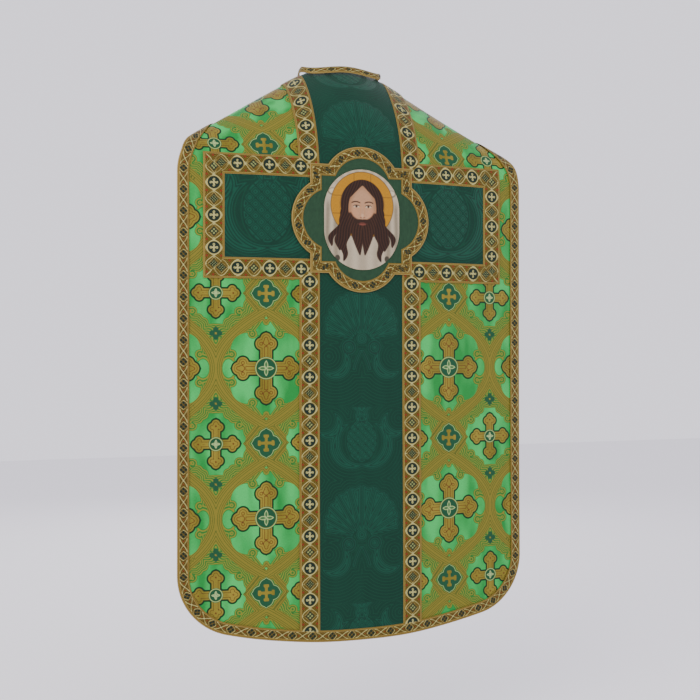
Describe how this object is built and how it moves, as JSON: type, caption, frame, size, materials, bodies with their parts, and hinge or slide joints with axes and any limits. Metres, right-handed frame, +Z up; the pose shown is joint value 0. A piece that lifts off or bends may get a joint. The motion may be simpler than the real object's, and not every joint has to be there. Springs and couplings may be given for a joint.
{
  "type": "chasuble",
  "caption": "Fiddleback chasuble in green and gold brocade: a wide back with a galloon-edged cross and a lobed medallion, and a narrower front that lifts at its seam.",
  "frame": {"origin": "the neck point: where the shoulder line meets the neck, midway between the shoulders, which is where the wearer carries it", "axes": "+X towards the wearer's right, +Y forward (the way the wearer faces), +Z up; the decorated back faces -Y"},
  "size_m": [0.7018, 0.2994, 1.1229],
  "materials": {
    "brocade": "satin brocade, figured in gold thread on bright green",
    "damask": "self-coloured damask, satin figure on a dull ground",
    "wide_galloon": "woven metallic-thread braid",
    "narrow_galloon": "woven metallic-thread braid",
    "medallion_cloth": "matt plain cloth",
    "picture_cloth": "matt cloth worked with a painted head on a veil",
    "lining_satin": "dull lining satin",
    "interlining_canvas": "stiff canvas",
    "tape": "twill tape"
  },
  "bodies": {
    "back": {"back_lining": "lining_satin", "back_interlining": "interlining_canvas", "back_brocade": "brocade", "column_damask": "damask", "crossbar_damask_right": "damask", "crossbar_damask_left": "damask", "column_galloon_upper_right": "wide_galloon", "column_galloon_upper_left": "wide_galloon", "column_galloon_lower_right": "wide_galloon", "column_galloon_lower_left": "wide_galloon", "crossbar_galloon_top_right": "wide_galloon", "crossbar_galloon_top_left": "wide_galloon", "crossbar_galloon_end_right": "wide_galloon", "crossbar_galloon_end_left": "wide_galloon", "crossbar_galloon_bottom_right": "wide_galloon", "crossbar_galloon_bottom_left": "wide_galloon", "back_border_galloon": "narrow_galloon", "neck_galloon": "narrow_galloon", "medallion_ground": "medallion_cloth", "medallion_picture": "picture_cloth", "medallion_galloon": "narrow_galloon"},
    "front": {"front_lining": "lining_satin", "front_interlining": "interlining_canvas", "front_brocade": "brocade", "front_column_damask": "damask", "front_column_galloon_right": "wide_galloon", "front_column_galloon_left": "wide_galloon", "front_border_galloon": "narrow_galloon"},
    "tie_right": {"tie_right": "tape"},
    "tie_left": {"tie_left": "tape"}
  },
  "joints": [
    {"name": "front_lift", "type": "hinge", "parent": "back", "child": "front", "pos_m": [0, 0.0946, -0.2626], "axis": [1, 0, 0], "range_deg": [0, 80]},
    {"name": "tie_right_swing", "type": "hinge", "parent": "back", "child": "tie_right", "pos_m": [0.29, -0.1108, -0.505], "axis": [0.1068, -0.9943, 0], "range_deg": [-10, 95]},
    {"name": "tie_left_swing", "type": "hinge", "parent": "back", "child": "tie_left", "pos_m": [-0.29, -0.1108, -0.505], "axis": [0.1068, 0.9943, 0], "range_deg": [-10, 95]}
  ]
}
